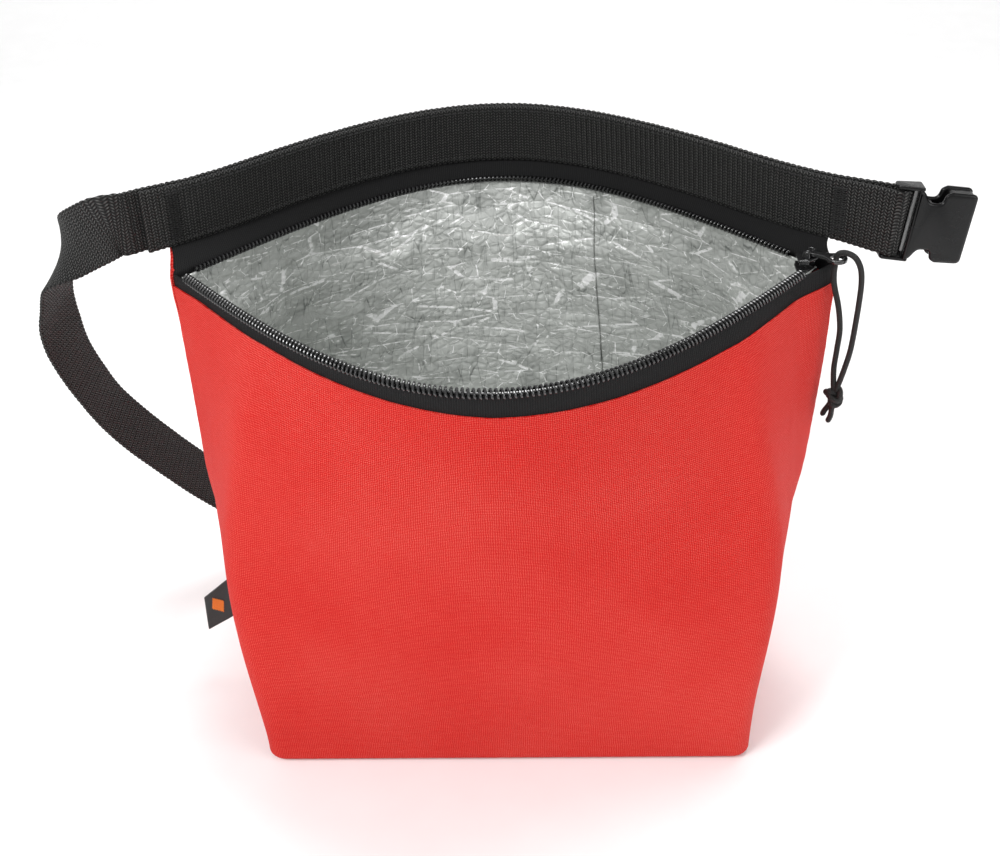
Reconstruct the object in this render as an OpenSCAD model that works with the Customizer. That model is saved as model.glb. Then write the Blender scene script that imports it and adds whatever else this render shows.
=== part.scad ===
// Soft insulated cooler bag, standing open, with a webbing band, strap and side-release buckle.
// Millimetres. +Z up, front towards -Y, origin at the centre of the base.

/* [Body] */
// Chord of the open mouth between the two zip corners
mouth_w = 246; // [240:1:250]
// How far each lip bows out from the mouth's centre line
lip_bow = 92; // [86:1:94]
// Height of the zip line above the base
mouth_h = 204; // [200:1:208]
// Width of the base
base_w = 206; // [196:1:210]
// Depth of the base
base_d = 118; // [106:1:120]
// Corner radius of the base in plan
base_r = 7; // [6:1:24]

/* [Layers] */
// Thickness of the outer fabric
shell_t = 1.0; // [0.6:0.1:1.2]
// Thickness of the foam between the fabric and the liner
foam_t = 3.9; // [2:0.1:4.5]
// Thickness of the foil liner
liner_t = 0.5; // [0.3:0.1:0.6]
// Gap left between neighbouring layers
ply_gap = 0.1; // [0.05:0.05:0.15]

/* [Zip] */
// Height of the black tape and coil that show above the front fabric
tape_show = 8; // [6:0.5:10]
// Thickness of the zip tape
tape_t = 0.8; // [0.5:0.1:0.8]
// Width and height of one row of coil
coil_d = 2.8; // [2:0.1:3]
// Diameter of the pull cord
cord_d = 2.2; // [1.8:0.1:2.4]

/* [Webbing] */
// Width of the webbing
web_w = 25; // [24:0.5:26]
// Thickness of the webbing
web_t = 1.6; // [1.2:0.1:1.8]
// Height of the band's lower edge above the zip line
band_rise = 7; // [6:0.5:9]
// How far the buckle hangs down from level, in degrees
buckle_droop = 6; // [0:1:8]

/* [Hidden] */
$fn = 48;

// Insets of each layer's two faces from the outer skin
shell_in = shell_t;
foam_out = shell_t + ply_gap;
foam_in = foam_out + foam_t;
liner_out = foam_in + ply_gap;
liner_in = liner_out + liner_t;
tape_out = shell_t + ply_gap;
tape_in = tape_out + tape_t;

// Radius of the fold between the walls and the base
hem_r = 4;
// Heights of the wall's rings above the hem
rings = [20, 42, 66, 90, 114, 138, 162, 180];
front_top = mouth_h - tape_show;
band_z = mouth_h + band_rise;
// Lower edges of the two zip tapes
front_tape_low = 186;
back_tape_low = 199.5;
// Columns of each wall
steps = 36;

// The band bows out a little more than the lip, less so to the right, and from band_leave on it runs straight
band_bow = lip_bow + 3;
band_chord = mouth_w + 14;
band_leave = 108;
band_slope = 0.77;
band_skew = 2.5;
band_left = -136;
inner_left = -133.5;
bar_x = 145;
bar_r = 1.6;
loop_r = 2.0;

// ---- outline of the body ----
// The width is full from this share of the height upwards
full_at = 0.6;
function half_w(q) = let (t = min(1, q / full_at))
    base_w / 2 + (mouth_w - base_w) / 2 * t * t * (3 - 2 * t);
function half_d(q) = base_d / 2 + (lip_bow - base_d / 2) * pow(q, 1.1);
side_run = base_d / 2 - base_r;
arc_run = base_r * PI / 2;
front_run = base_w - 2 * base_r;
half_run = 2 * side_run + 2 * arc_run + front_run;

// Point at distance d along half of the rounded base, from the left end to the right end
function base_pt(d) =
    d > half_run / 2 ? let (m = base_pt(half_run - d)) [-m[0], m[1]]
    : d < side_run ? [-base_w / 2, -d]
    : d < side_run + arc_run
      ? let (t = (d - side_run) / base_r * 180 / PI)
        [-base_w / 2 + base_r * (1 - cos(t)), -side_run - base_r * sin(t)]
      : [-base_w / 2 + base_r + d - side_run - arc_run, -base_d / 2];

// Point on half of the lens of the mouth, from -1 to 1
function lens_x(s) = -1 + 2 * s - 0.0675 * sin(360 * s);
function lens_pt(s) = let (x = lens_x(s)) [x, -cos(90 * x)];

// Point on the skin at run s (0 left, 1 right), height z and inset; the front half, y <= 0
function skin(s, z, inset) = let (
    q = min(1, max(0, z / mouth_h)),
    w = pow(q, 1.3),
    b = base_pt(s * half_run),
    m = lens_pt(s),
    x = (1 - w) * b[0] / (base_w / 2) + w * m[0],
    y = (1 - w) * b[1] / (base_d / 2) + w * m[1])
    [x * (half_w(q) - inset * (1 + 0.33 * w)), y * (half_d(q) - inset)];

// Plan of the band behind the mouth, as y at x, and its outward normal
function band_y(x) = let (t = min(1, max(0, x / 80)), skew = band_skew * t * t * (3 - 2 * t))
    abs(x) < band_leave
    ? band_bow * cos(180 * x / band_chord) - skew
    : band_bow * cos(180 * band_leave / band_chord) - band_slope * (abs(x) - band_leave) - skew;
function band_normal(x) = let (
    d = band_y(x + 1) - band_y(x - 1),
    l = norm([d, 2]))
    [-d / l, 2 / l];
function band_pt(x, inset) = let (n = band_normal(x)) [x - n[0] * inset, band_y(x) - n[1] * inset];

// Back skin, which leaves the lens above the zip line and follows the band
function back_skin(s, z, inset) = let (
    p = skin(s, z, inset),
    t = min(1, max(0, (z - mouth_h) / band_rise)),
    b = band_pt(lens_x(s) * (mouth_w / 2 + 3), inset))
    [(1 - t) * p[0] + t * b[0], t * b[1] - (1 - t) * p[1]];

// ---- a curved wall between two faces ----
// levels: [height and inset of the outer face, height and inset of the inner face]
module wall(levels, back = false, s0 = 0, s1 = 1, n = steps) {
    rows = len(levels);
    cols = n + 1;
    function pt(s, z, i) = let (p = back ? back_skin(s, z, i) : skin(s, z, i))
        [p[0], p[1] + (back ? ply_gap / 2 : -ply_gap / 2), z];
    outer = [for (l = levels) for (j = [0:n]) pt(s0 + (s1 - s0) * j / n, l[0], l[1])];
    inner = [for (l = levels) for (j = [0:n]) pt(s0 + (s1 - s0) * j / n, l[2], l[3])];
    k = rows * cols;
    function o(i, j) = i * cols + j;
    function c(i, j) = k + i * cols + j;
    function quad(a, b, d, e) = back ? [[e, d, b], [e, b, a]] : [[a, b, d], [a, d, e]];
    faces = [
        for (i = [0:rows - 2]) for (j = [0:n - 1])
            each quad(o(i, j), o(i + 1, j), o(i + 1, j + 1), o(i, j + 1)),
        for (i = [0:rows - 2]) for (j = [0:n - 1])
            each quad(c(i, j), c(i, j + 1), c(i + 1, j + 1), c(i + 1, j)),
        for (j = [0:n - 1]) each quad(o(0, j), o(0, j + 1), c(0, j + 1), c(0, j)),
        for (j = [0:n - 1])
            each quad(o(rows - 1, j), c(rows - 1, j), c(rows - 1, j + 1), o(rows - 1, j + 1)),
        for (i = [0:rows - 2]) each quad(o(i, 0), c(i, 0), c(i + 1, 0), o(i + 1, 0)),
        for (i = [0:rows - 2]) each quad(o(i, n), o(i + 1, n), c(i + 1, n), c(i, n))];
    polyhedron(points = concat(outer, inner), faces = faces);
}

// Outline of the base, shrunk by an inset in the same way as the walls
module base_plate(inset) {
    polygon([for (j = [0:steps]) skin(j / steps, 0, inset),
             for (j = [steps - 1:-1:1]) let (p = skin(j / steps, 0, inset)) [p[0], -p[1]]]);
}

// ---- outer fabric ----
module shell_wall(top, back) {
    wall(concat(
        [[0, hem_r, shell_t, hem_r],
         [hem_r * 0.3, hem_r * 0.3, hem_r * 0.5, hem_r * 0.5],
         [hem_r, 0, hem_r, shell_in]],
        [for (z = rings) [z, 0, z, shell_in]],
        [for (z = back ? [back_tape_low, mouth_h, band_z] : [front_tape_low]) [z, 0, z, shell_in]],
        [[top, 0, top, shell_in]]), back);
}
module bottom_shell() {
    color("crimson") linear_extrude(shell_t) base_plate(hem_r + ply_gap);
}
module front_shell() {
    color("crimson") shell_wall(front_top, false);
}
module back_shell() {
    color("crimson") shell_wall(band_z + 17, true);
}

// ---- foam ----
foam_floor = shell_t + ply_gap;
foam_levels = concat(
    [[hem_r, foam_out, hem_r + 2, foam_in]],
    [for (z = rings) [z, foam_out, z, foam_in]]);
module bottom_foam() {
    color("white") translate([0, 0, foam_floor]) linear_extrude(foam_t) base_plate(foam_in + 0.4);
}
module front_foam() {
    color("white") wall(foam_levels);
}
module back_foam() {
    color("white") wall(foam_levels, true);
}

// ---- foil liner ----
liner_floor = foam_floor + foam_t + ply_gap;
liner_levels = concat(
    [[liner_floor + liner_t + ply_gap, liner_out, liner_floor + liner_t + ply_gap, liner_in]],
    [for (z = rings) [z, liner_out, z, liner_in]],
    [[190, tape_in + ply_gap, 190, tape_in + ply_gap + liner_t],
     [199, tape_in + ply_gap, 199, tape_in + ply_gap + liner_t]]);
module bottom_liner() {
    color("silver") translate([0, 0, liner_floor]) linear_extrude(liner_t) base_plate(liner_in + 0.4);
}
module front_liner() {
    color("silver") wall(liner_levels);
}
module back_liner() {
    color("silver") wall(liner_levels, true);
}
// Overlap where the liner is joined into a tube, a narrow strip on its inner face
module liner_seam_tape() {
    color("darkgray")
        wall([for (z = rings) [z, liner_in + ply_gap, z, liner_in + ply_gap + 0.3]], true, 0.60, 0.64, 4);
}

// ---- zip ----
// The tapes end at a whole column of the walls, so that the layers stay parallel
tape_cols = 34;
tape_end = tape_cols / steps;
module front_zip_tape() {
    color("black")
        wall([for (z = [front_tape_low, front_top, mouth_h - coil_d / 2 - ply_gap])
                  [z, tape_out, z, tape_in]],
             false, 0, tape_end, tape_cols);
}
module back_zip_tape() {
    color("black")
        wall([for (z = [back_tape_low, mouth_h, band_z - 0.2]) [z, tape_out, z, tape_in]],
             true, 0, tape_end, tape_cols);
}
// Strip of one coil row between two insets, from the left corner to just short of the slider
module coil_row(i0, i1, back) {
    s0 = 0.02;
    s1 = 0.962;
    function pt(s, i) = let (p = skin(s, mouth_h, i)) [p[0], back ? -p[1] : p[1]];
    translate([0, 0, mouth_h - coil_d / 2]) linear_extrude(coil_d)
        polygon([for (j = [0:steps]) pt(s0 + (s1 - s0) * j / steps, i0),
                 for (j = [steps:-1:0]) pt(s0 + (s1 - s0) * j / steps, i1)]);
}
module front_coil() {
    color("dimgray") coil_row(0.2, 0.2 + coil_d, false);
}
module back_coil() {
    color("dimgray") coil_row(tape_in + 0.2, tape_in + 0.2 + coil_d, true);
}

// ---- webbing band along the back of the mouth ----
inner_face = shell_t + 0.3;
outer_face = -0.2;
bar_y = band_y(bar_x) - 0.5;
// Insets of a layer of the band, which opens out round the buckle's bar at its right end
function layer(x, flat, end) =
    let (t = min(1, max(0, (x - (bar_x - 14)) / 12)))
    flat + (end - flat) * t * t * (3 - 2 * t);
module band_strip(x0, x1, f0, f1, e0, e1) {
    n = 60;
    function at(j) = x0 + (x1 - x0) * j / n;
    polygon([for (j = [0:n]) band_pt(at(j), layer(at(j), f0, e0)),
             for (j = [n:-1:0]) band_pt(at(j), layer(at(j), f1, e1))]);
}
module band_webbing() {
    ring = loop_r + web_t;
    color("black") difference() {
        union() {
            translate([0, 0, band_z]) linear_extrude(web_w) {
                band_strip(inner_left, bar_x, inner_face, inner_face + web_t, loop_r + 0.5, ring + 0.3);
                band_strip(band_left, bar_x, outer_face, outer_face - web_t, -loop_r + 0.5, -ring + 0.7);
            }
            bar_frame() cylinder(h = web_w, r = ring, center = true);
        }
        bar_frame() cylinder(h = web_w + 4, r = loop_r, center = true);
    }
}
// Frame of the buckle's bar: Z along the bar, X along the buckle
module bar_frame() {
    translate([bar_x, bar_y, band_z + web_w / 2]) rotate([0, buckle_droop, 0]) children();
}
// Dense zigzag stitching that ties the band's layers together, as low raised bars
module bartacks() {
    color("dimgray") for (x = [-124, bar_x - 16], side = [0, 1]) {
        face = side == 0 ? inner_face + web_t + 0.02 : outer_face - web_t - 0.02;
        tip = side == 0 ? face + 0.4 : face - 0.4;
        translate([0, 0, band_z + 3]) linear_extrude(web_w - 6)
            polygon([band_pt(x - 1.5, face), band_pt(x + 1.5, face),
                     band_pt(x + 1.5, tip), band_pt(x - 1.5, tip)]);
    }
}

// ---- label in the left side seam ----
// Heights of the label's two corners at the seam, and how far it reaches and sags
label_low = 45;
label_high = 62;
label_tip = 137;
label_sag = 20.5;
function seam_x(z) = -half_w(z / mouth_h) - 0.4;
module side_label() {
    color("black") translate([0, 0.6, 0]) rotate([90, 0, 0]) linear_extrude(1.2)
        polygon([[seam_x(label_low), label_low], [seam_x(label_high), label_high],
                 [-label_tip, label_high - label_sag], [-label_tip, label_low - label_sag]]);
}
// Plain diamond motif on the label's front face
module label_mark() {
    color("darkorange") translate([-label_tip + 6.5, -0.62, label_low - label_sag + 10.5]) rotate([90, 0, 0])
        linear_extrude(0.2) polygon([[-3.2, -1.6], [0, 4.2], [3.2, 1.6], [0, -4.2]]);
}

// ---- zip slider, at the right corner ----
slider_x = 112.4;
wing_t = 1.2;
wing_gap = coil_d / 2 + 0.3;
hub_x = 116.8;
hub_z = mouth_h + wing_gap + wing_t + 1.45;
// The tab points this way in plan, along the band, with its eye this far from its hinge
tab_turn = -33.5;
tab_reach = 11;
eye_r = 2.35;
module tab_frame() {
    translate([hub_x, 0, hub_z]) rotate([0, 0, tab_turn]) children();
}
module slider_wing() {
    linear_extrude(wing_t) polygon([[slider_x, -4.2], [slider_x + 3.8, -4.2], [slider_x + 7.6, -1],
                                    [slider_x + 7.6, 1], [slider_x + 3.8, 4.2], [slider_x, 4.2]]);
}
module slider_body() {
    color("black") {
        translate([0, 0, mouth_h + wing_gap]) slider_wing();
        translate([0, 0, mouth_h - wing_gap - wing_t]) slider_wing();
        translate([slider_x + 3.4, -1.2, mouth_h - wing_gap - 0.5]) cube([3.6, 2.4, 2 * wing_gap + 1]);
        tab_frame() {
            for (y = [-2.9, 1.8]) translate([-1.4, y, -1.65]) cube([2.8, 1.1, 3.0]);
            rotate([90, 0, 0]) cylinder(h = 5.6, r = 0.7, center = true);
        }
    }
}
// Pull tab with an eye for the cord
module slider_tab() {
    color("black") tab_frame() difference() {
        union() {
            rotate([90, 0, 0]) cylinder(h = 3.2, r = 1.35, center = true);
            translate([0.8, -1.5, -0.8]) cube([tab_reach - 3.2, 3, 1.6]);
            translate([tab_reach, 0, 0]) cylinder(h = 1.6, r = eye_r + 1.5, center = true);
        }
        rotate([90, 0, 0]) cylinder(h = 5, r = 0.76, center = true);
        translate([tab_reach, 0, 0]) cylinder(h = 4, r = eye_r, center = true);
    }
}

// ---- pull cord ----
// Both legs lie in one upright plane, which runs nearly level with the band, as [distance along it, height]
hang_x = 115.5;
hang_turn = -30;
function hang(route) = [for (p = route) [hang_x + p[0] * cos(hang_turn), p[0] * sin(hang_turn), p[1]]];
// Outer leg of the cord, from the eye over and down to the knot
cord_a_route = hang([[11.8, 208.2], [11.9, 209.6], [13.2, 211], [15.8, 211.4], [18.9, 210.2], [21.2, 206.6],
                     [22.2, 201.4], [22.4, 194], [22.2, 183.4], [21.7, 172.5], [20.5, 164.2], [19, 156.5]]);
// Inner leg of the cord, from the eye down to the knot
cord_b_route = hang([[11.8, 208.2], [11.7, 205.5], [11.7, 202], [12.4, 197.4], [15, 188.9], [16.6, 179.9],
                     [16.5, 171], [16.3, 163], [16.9, 156.5]]);
knot_at = 17.9;
knot_z = 150.5;
module knot_frame() {
    translate(hang([[knot_at, knot_z]])[0]) rotate([0, 0, hang_turn]) children();
}
function unit(v) = v / norm(v);
// Direction of a route at one of its points
function along(route, i) = unit(route[min(len(route) - 1, i + 1)] - route[max(0, i - 1)]);
// A round tube with flat ends, swept along a route in the cord's upright plane
module tube(route, d, sides = 8) {
    rows = len(route);
    side = [-sin(hang_turn), cos(hang_turn), 0];
    points = [for (i = [0:rows - 1]) let (t = along(route, i), up = cross(t, side))
        for (k = [0:sides - 1]) route[i] + d / 2 * (cos(360 * k / sides) * side + sin(360 * k / sides) * up)];
    faces = concat(
        [for (i = [0:rows - 2]) for (k = [0:sides - 1]) let (m = (k + 1) % sides)
            each [[i * sides + k, (i + 1) * sides + k, (i + 1) * sides + m],
                  [i * sides + k, (i + 1) * sides + m, i * sides + m]]],
        [[for (k = [0:sides - 1]) k]],
        [[for (k = [sides - 1:-1:0]) (rows - 1) * sides + k]]);
    polyhedron(points = points, faces = faces);
}
module pull_cord_a() {
    color("black") tube(cord_a_route, cord_d);
}
module pull_cord_b() {
    color("black") tube(cord_b_route, cord_d);
}
module pull_knot() {
    color("black") knot_frame() rotate_extrude($fn = 24)
        polygon([[0, -5.2], [2.4, -5.2], [4.4, -2.4], [4.4, 2.2], [2.9, 5.2], [0, 5.2]]);
}
module cord_tails() {
    color("black") knot_frame() for (side = [-1, 1]) translate([side * 1.4 - 0.8, 0, -5.2])
        rotate([180, side * -9 - 10, 0]) cylinder(h = 7.5, r = cord_d / 2, $fn = 16);
}

// ---- female half of the side-release buckle ----
female_l = 26;
female_t = 8;
female_w = web_w + 3;
socket_l = 15;
socket_t = 5;
socket_w = 20;
// Outline of the female half, from the bar at x = 0 to the socket's mouth
female_outline = [[-2.6, -14], [4, -14], [7.5, -11.5], [10, -8.8], [14, -8.8], [15, -12], [17, -13.4],
                  [female_l, -13.4], [female_l, 13.4], [17, 13.4], [15, 12], [14, 8.8], [10, 8.8],
                  [7.5, 11.5], [4, 14], [-2.6, 14]];
module female_buckle() {
    cheek = (female_w - web_w - 1) / 2;
    color("black") bar_frame() {
        difference() {
            rotate([90, 0, 0]) linear_extrude(female_t, center = true) polygon(female_outline);
            translate([-6, -female_t, -web_w / 2 - 0.5]) cube([11, 2 * female_t, web_w + 1]);
            translate([female_l - socket_l, -socket_t / 2, -socket_w / 2])
                cube([socket_l + 1, socket_t, socket_w]);
        }
        cylinder(h = female_w - cheek, r = bar_r, center = true);
    }
}

// ---- strap ----
// Stations of the strap: [centre, direction across its width]
strap_route = [
    [[-138.4, 2.7, 223.5], [0, 0, 1]],
    [[-145, 0.6, 223.5], [0, 0, 1]],
    [[-153, 3, 219], [0.1, 0, 1]],
    [[-161, 6, 214.5], [0.2, 0, 1]],
    [[-168, 11, 208], [0.35, 0.1, 0.9]],
    [[-174, 17, 199], [0.45, 0.3, 0.8]],
    [[-179, 23, 187], [0.4, 0.5, 0.7]],
    [[-183, 27, 174], [0.35, 0.7, 0.55]],
    [[-184, 31, 160], [0.3, 0.8, 0.4]],
    [[-183, 35, 146], [0.2, 0.9, 0.35]],
    [[-180, 39, 132], [0.15, 0.95, 0.35]],
    [[-176, 44, 117], [0.1, 0.95, 0.35]],
    [[-169, 49, 102], [0.1, 0.95, 0.35]],
    [[-160, 55, 86], [0.1, 0.95, 0.3]],
    [[-149, 61, 69], [0.1, 0.95, 0.3]],
    [[-137, 67, 53], [0.1, 0.95, 0.25]],
    [[-124, 73, 37], [0.05, 1, 0.2]],
    [[-110, 79, 21], [0, 1, 0.1]],
    [[-97, 83, 8], [0, 1, 0]],
    [[-86, 84, 1.5], [0, 1, 0]],
    [[-79, 84, 1.2], [0, 1, 0]],
    [[-72, 84, 1.2], [0, 1, 0]]];
male_x = -72;
male_y = 84;
male_z = 0.4 + loop_r + web_t;
// A flat ribbon swept through stations, lifted off its centre line by an offset
module ribbon(route, w, t) {
    rows = len(route);
    centres = [for (r = route) r[0]];
    points = [for (i = [0:rows - 1])
        let (d = along(centres, i), across = unit(route[i][1] - (route[i][1] * d) * d), up = cross(d, across))
        for (c = [[-1, -1], [1, -1], [1, 1], [-1, 1]])
            centres[i] + c[0] * w / 2 * across + c[1] * t / 2 * up];
    faces = concat(
        [[0, 1, 2, 3], [for (k = [3:-1:0]) (rows - 1) * 4 + k]],
        [for (i = [0:rows - 2]) for (k = [0:3]) let (m = (k + 1) % 4)
            each [[i * 4 + k, (i + 1) * 4 + k, (i + 1) * 4 + m], [i * 4 + k, (i + 1) * 4 + m, i * 4 + m]]]);
    polyhedron(points = points, faces = faces);
}
// Webbing end that turns back round the male half's bar and lies over the strap
tail_z = male_z + loop_r + web_t / 2;
tail_route = [[[male_x, male_y, tail_z], [0, 1, 0]],
              [[male_x - 6, male_y, tail_z + 0.2], [0, 1, 0]],
              [[male_x - 13, male_y, tail_z + 2], [0, 1, 0]],
              [[male_x - 20, male_y, tail_z + 6.5], [0, 1, 0]],
              [[male_x - 27, male_y - 1, tail_z + 13], [0, 1, 0]]];
module strap_webbing() {
    color("black") {
        ribbon(strap_route, web_w, web_t);
        ribbon(tail_route, web_w, web_t);
        translate([male_x, male_y, male_z]) rotate([90, 0, 0]) difference() {
            cylinder(h = web_w, r = loop_r + web_t, center = true);
            cylinder(h = web_w + 1, r = loop_r, center = true);
            translate([-10, -10, -web_w]) cube([10, 20, 2 * web_w]);
        }
    }
}

// ---- male half of the side-release buckle, flat on the floor behind the bag ----
male_t = 4.4;
male_w = web_w + 6;
module male_frame() {
    color("black") translate([male_x, male_y, male_z]) {
        difference() {
            translate([-2.4, -male_w / 2, -male_t / 2]) cube([16.4, male_w, male_t]);
            translate([-3, -web_w / 2 - 0.6, -male_t]) cube([11.4, web_w + 1.2, 2 * male_t]);
        }
        rotate([90, 0, 0]) cylinder(h = male_w - 2, r = bar_r, center = true);
        translate([13, -1.8, -1.4]) cube([18, 3.6, 2.8]);
    }
}
// Outline of one prong from its root at the frame to its barb, on the +Y side
prong_outline = [[0.3, 5.2], [0.3, 8.2], [8, 8.8], [11, 12.4], [15, 12.8],
                 [19.5, 8.4], [20, 6.2], [17, 5.4], [8, 5.2]];
module prong(side) {
    color("black") translate([male_x + 14, male_y, male_z]) scale_y(side)
        translate([0, 0, -1.8]) linear_extrude(3.6) polygon(prong_outline);
}
module scale_y(side) {
    if (side > 0) children();
    else mirror([0, 1, 0]) children();
}
module male_prong_left() {
    prong(1);
}
module male_prong_right() {
    prong(-1);
}

bottom_shell();
front_shell();
back_shell();
bottom_foam();
front_foam();
back_foam();
bottom_liner();
front_liner();
back_liner();
liner_seam_tape();
front_zip_tape();
back_zip_tape();
front_coil();
back_coil();
band_webbing();
bartacks();
side_label();
label_mark();
slider_body();
slider_tab();
pull_cord_a();
pull_cord_b();
pull_knot();
cord_tails();
female_buckle();
strap_webbing();
male_frame();
male_prong_left();
male_prong_right();
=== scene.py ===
import math

import bmesh
import bpy
import numpy as np
from mathutils import Matrix, Vector
from mathutils.geometry import tessellate_polygon


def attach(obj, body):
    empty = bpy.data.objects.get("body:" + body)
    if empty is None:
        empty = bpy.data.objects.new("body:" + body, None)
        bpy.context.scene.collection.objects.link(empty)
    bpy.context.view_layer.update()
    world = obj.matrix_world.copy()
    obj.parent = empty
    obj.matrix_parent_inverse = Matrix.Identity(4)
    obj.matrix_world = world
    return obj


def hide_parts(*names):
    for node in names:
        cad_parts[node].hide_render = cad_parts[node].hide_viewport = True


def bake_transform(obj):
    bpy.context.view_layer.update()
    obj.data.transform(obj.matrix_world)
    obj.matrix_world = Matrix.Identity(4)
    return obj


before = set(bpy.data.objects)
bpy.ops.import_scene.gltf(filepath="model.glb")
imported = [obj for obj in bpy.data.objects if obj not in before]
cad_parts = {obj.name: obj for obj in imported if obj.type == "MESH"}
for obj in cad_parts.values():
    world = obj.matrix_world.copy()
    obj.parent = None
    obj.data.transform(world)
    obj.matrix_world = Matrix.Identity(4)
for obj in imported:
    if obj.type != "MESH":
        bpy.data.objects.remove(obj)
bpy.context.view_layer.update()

# Shapes are worked out in millimetres and written to the meshes in metres.
MM = 0.001
TAU = 2 * math.pi

# Driving sizes, the same as the CAD model's.
MOUTH_W, LIP_BOW, MOUTH_H = 246.0, 92.0, 204.0
BASE_W, BASE_D, BASE_R = 206.0, 118.0, 7.0
FULL_AT = 0.6
SHELL_T = 1.0
HEM_R = 4.0
FRONT_TOP = 196.0
BAND_RISE, WEB_W, WEB_T = 7.0, 25.0, 1.6
BAND_Z = MOUTH_H + BAND_RISE
BAND_BOW, BAND_CHORD = LIP_BOW + 3, MOUTH_W + 14
BAND_LEAVE, BAND_SLOPE, BAND_SKEW = 108.0, 0.77, 2.5
# The band leans in over the mouth by this much for each millimetre of height.
LEAN = math.tan(math.radians(5.5))
BAR_X, BAR_R, LOOP_R = 145.0, 1.6, 2.0
CORD_D = 2.2
DROOP = math.radians(6)


# ---------------- numbers
def smooth(t):
    t = np.clip(t, 0.0, 1.0)
    return t * t * (3 - 2 * t)


def unit(v):
    v = np.asarray(v, float)
    return v / np.maximum(np.linalg.norm(v, axis=-1, keepdims=True), 1e-9)


def arrays(*values):
    """The values as number arrays of one common shape."""
    return np.broadcast_arrays(*[np.asarray(v, float) for v in values])


def noise(x, y, seed):
    """Smooth gradient noise in the plane, about -0.7 to 0.7, with a lattice step of 1."""
    angle = np.random.RandomState(seed).rand(256, 256) * TAU
    x, y = arrays(x, y)
    xi, yi = np.floor(x).astype(int), np.floor(y).astype(int)
    xf, yf = x - xi, y - yi

    def corner(dx, dy):
        a = angle[(xi + dx) % 256, (yi + dy) % 256]
        return np.cos(a) * (xf - dx) + np.sin(a) * (yf - dy)

    u, v = smooth(xf), smooth(yf)
    low = corner(0, 0) * (1 - u) + corner(1, 0) * u
    high = corner(0, 1) * (1 - u) + corner(1, 1) * u
    return low * (1 - v) + high * v


def spline(points, per_span=12):
    """A smooth curve through points (any number of columns)."""
    p = np.asarray(points, float)
    p = np.vstack([2 * p[0] - p[1], p, 2 * p[-1] - p[-2]])
    t = np.linspace(0, 1, per_span, endpoint=False)[:, None]
    spans = []
    for a, b, c, d in zip(p[:-3], p[1:-2], p[2:-1], p[3:]):
        bend = (2 * a - 5 * b + 4 * c - d) * t**2 + (3 * b - a - 3 * c + d) * t**3
        spans.append(0.5 * (2 * b + (c - a) * t + bend))
    return np.vstack(spans + [p[-2][None]])


def run_of(points):
    """Distance along a line of points, from 0."""
    step = np.linalg.norm(np.diff(points[:, :3], axis=0), axis=1)
    return np.concatenate([[0], np.cumsum(step)])


def resample(points, step):
    """The same line with points a fixed step apart."""
    d = run_of(points)
    n = max(2, int(round(d[-1] / step)) + 1)
    at = np.linspace(0, d[-1], n)
    return np.stack([np.interp(at, d, points[:, k]) for k in range(points.shape[1])], 1)


def add_object(name, data):
    obj = bpy.data.objects.new(name, data)
    bpy.context.scene.collection.objects.link(obj)
    return obj


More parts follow.
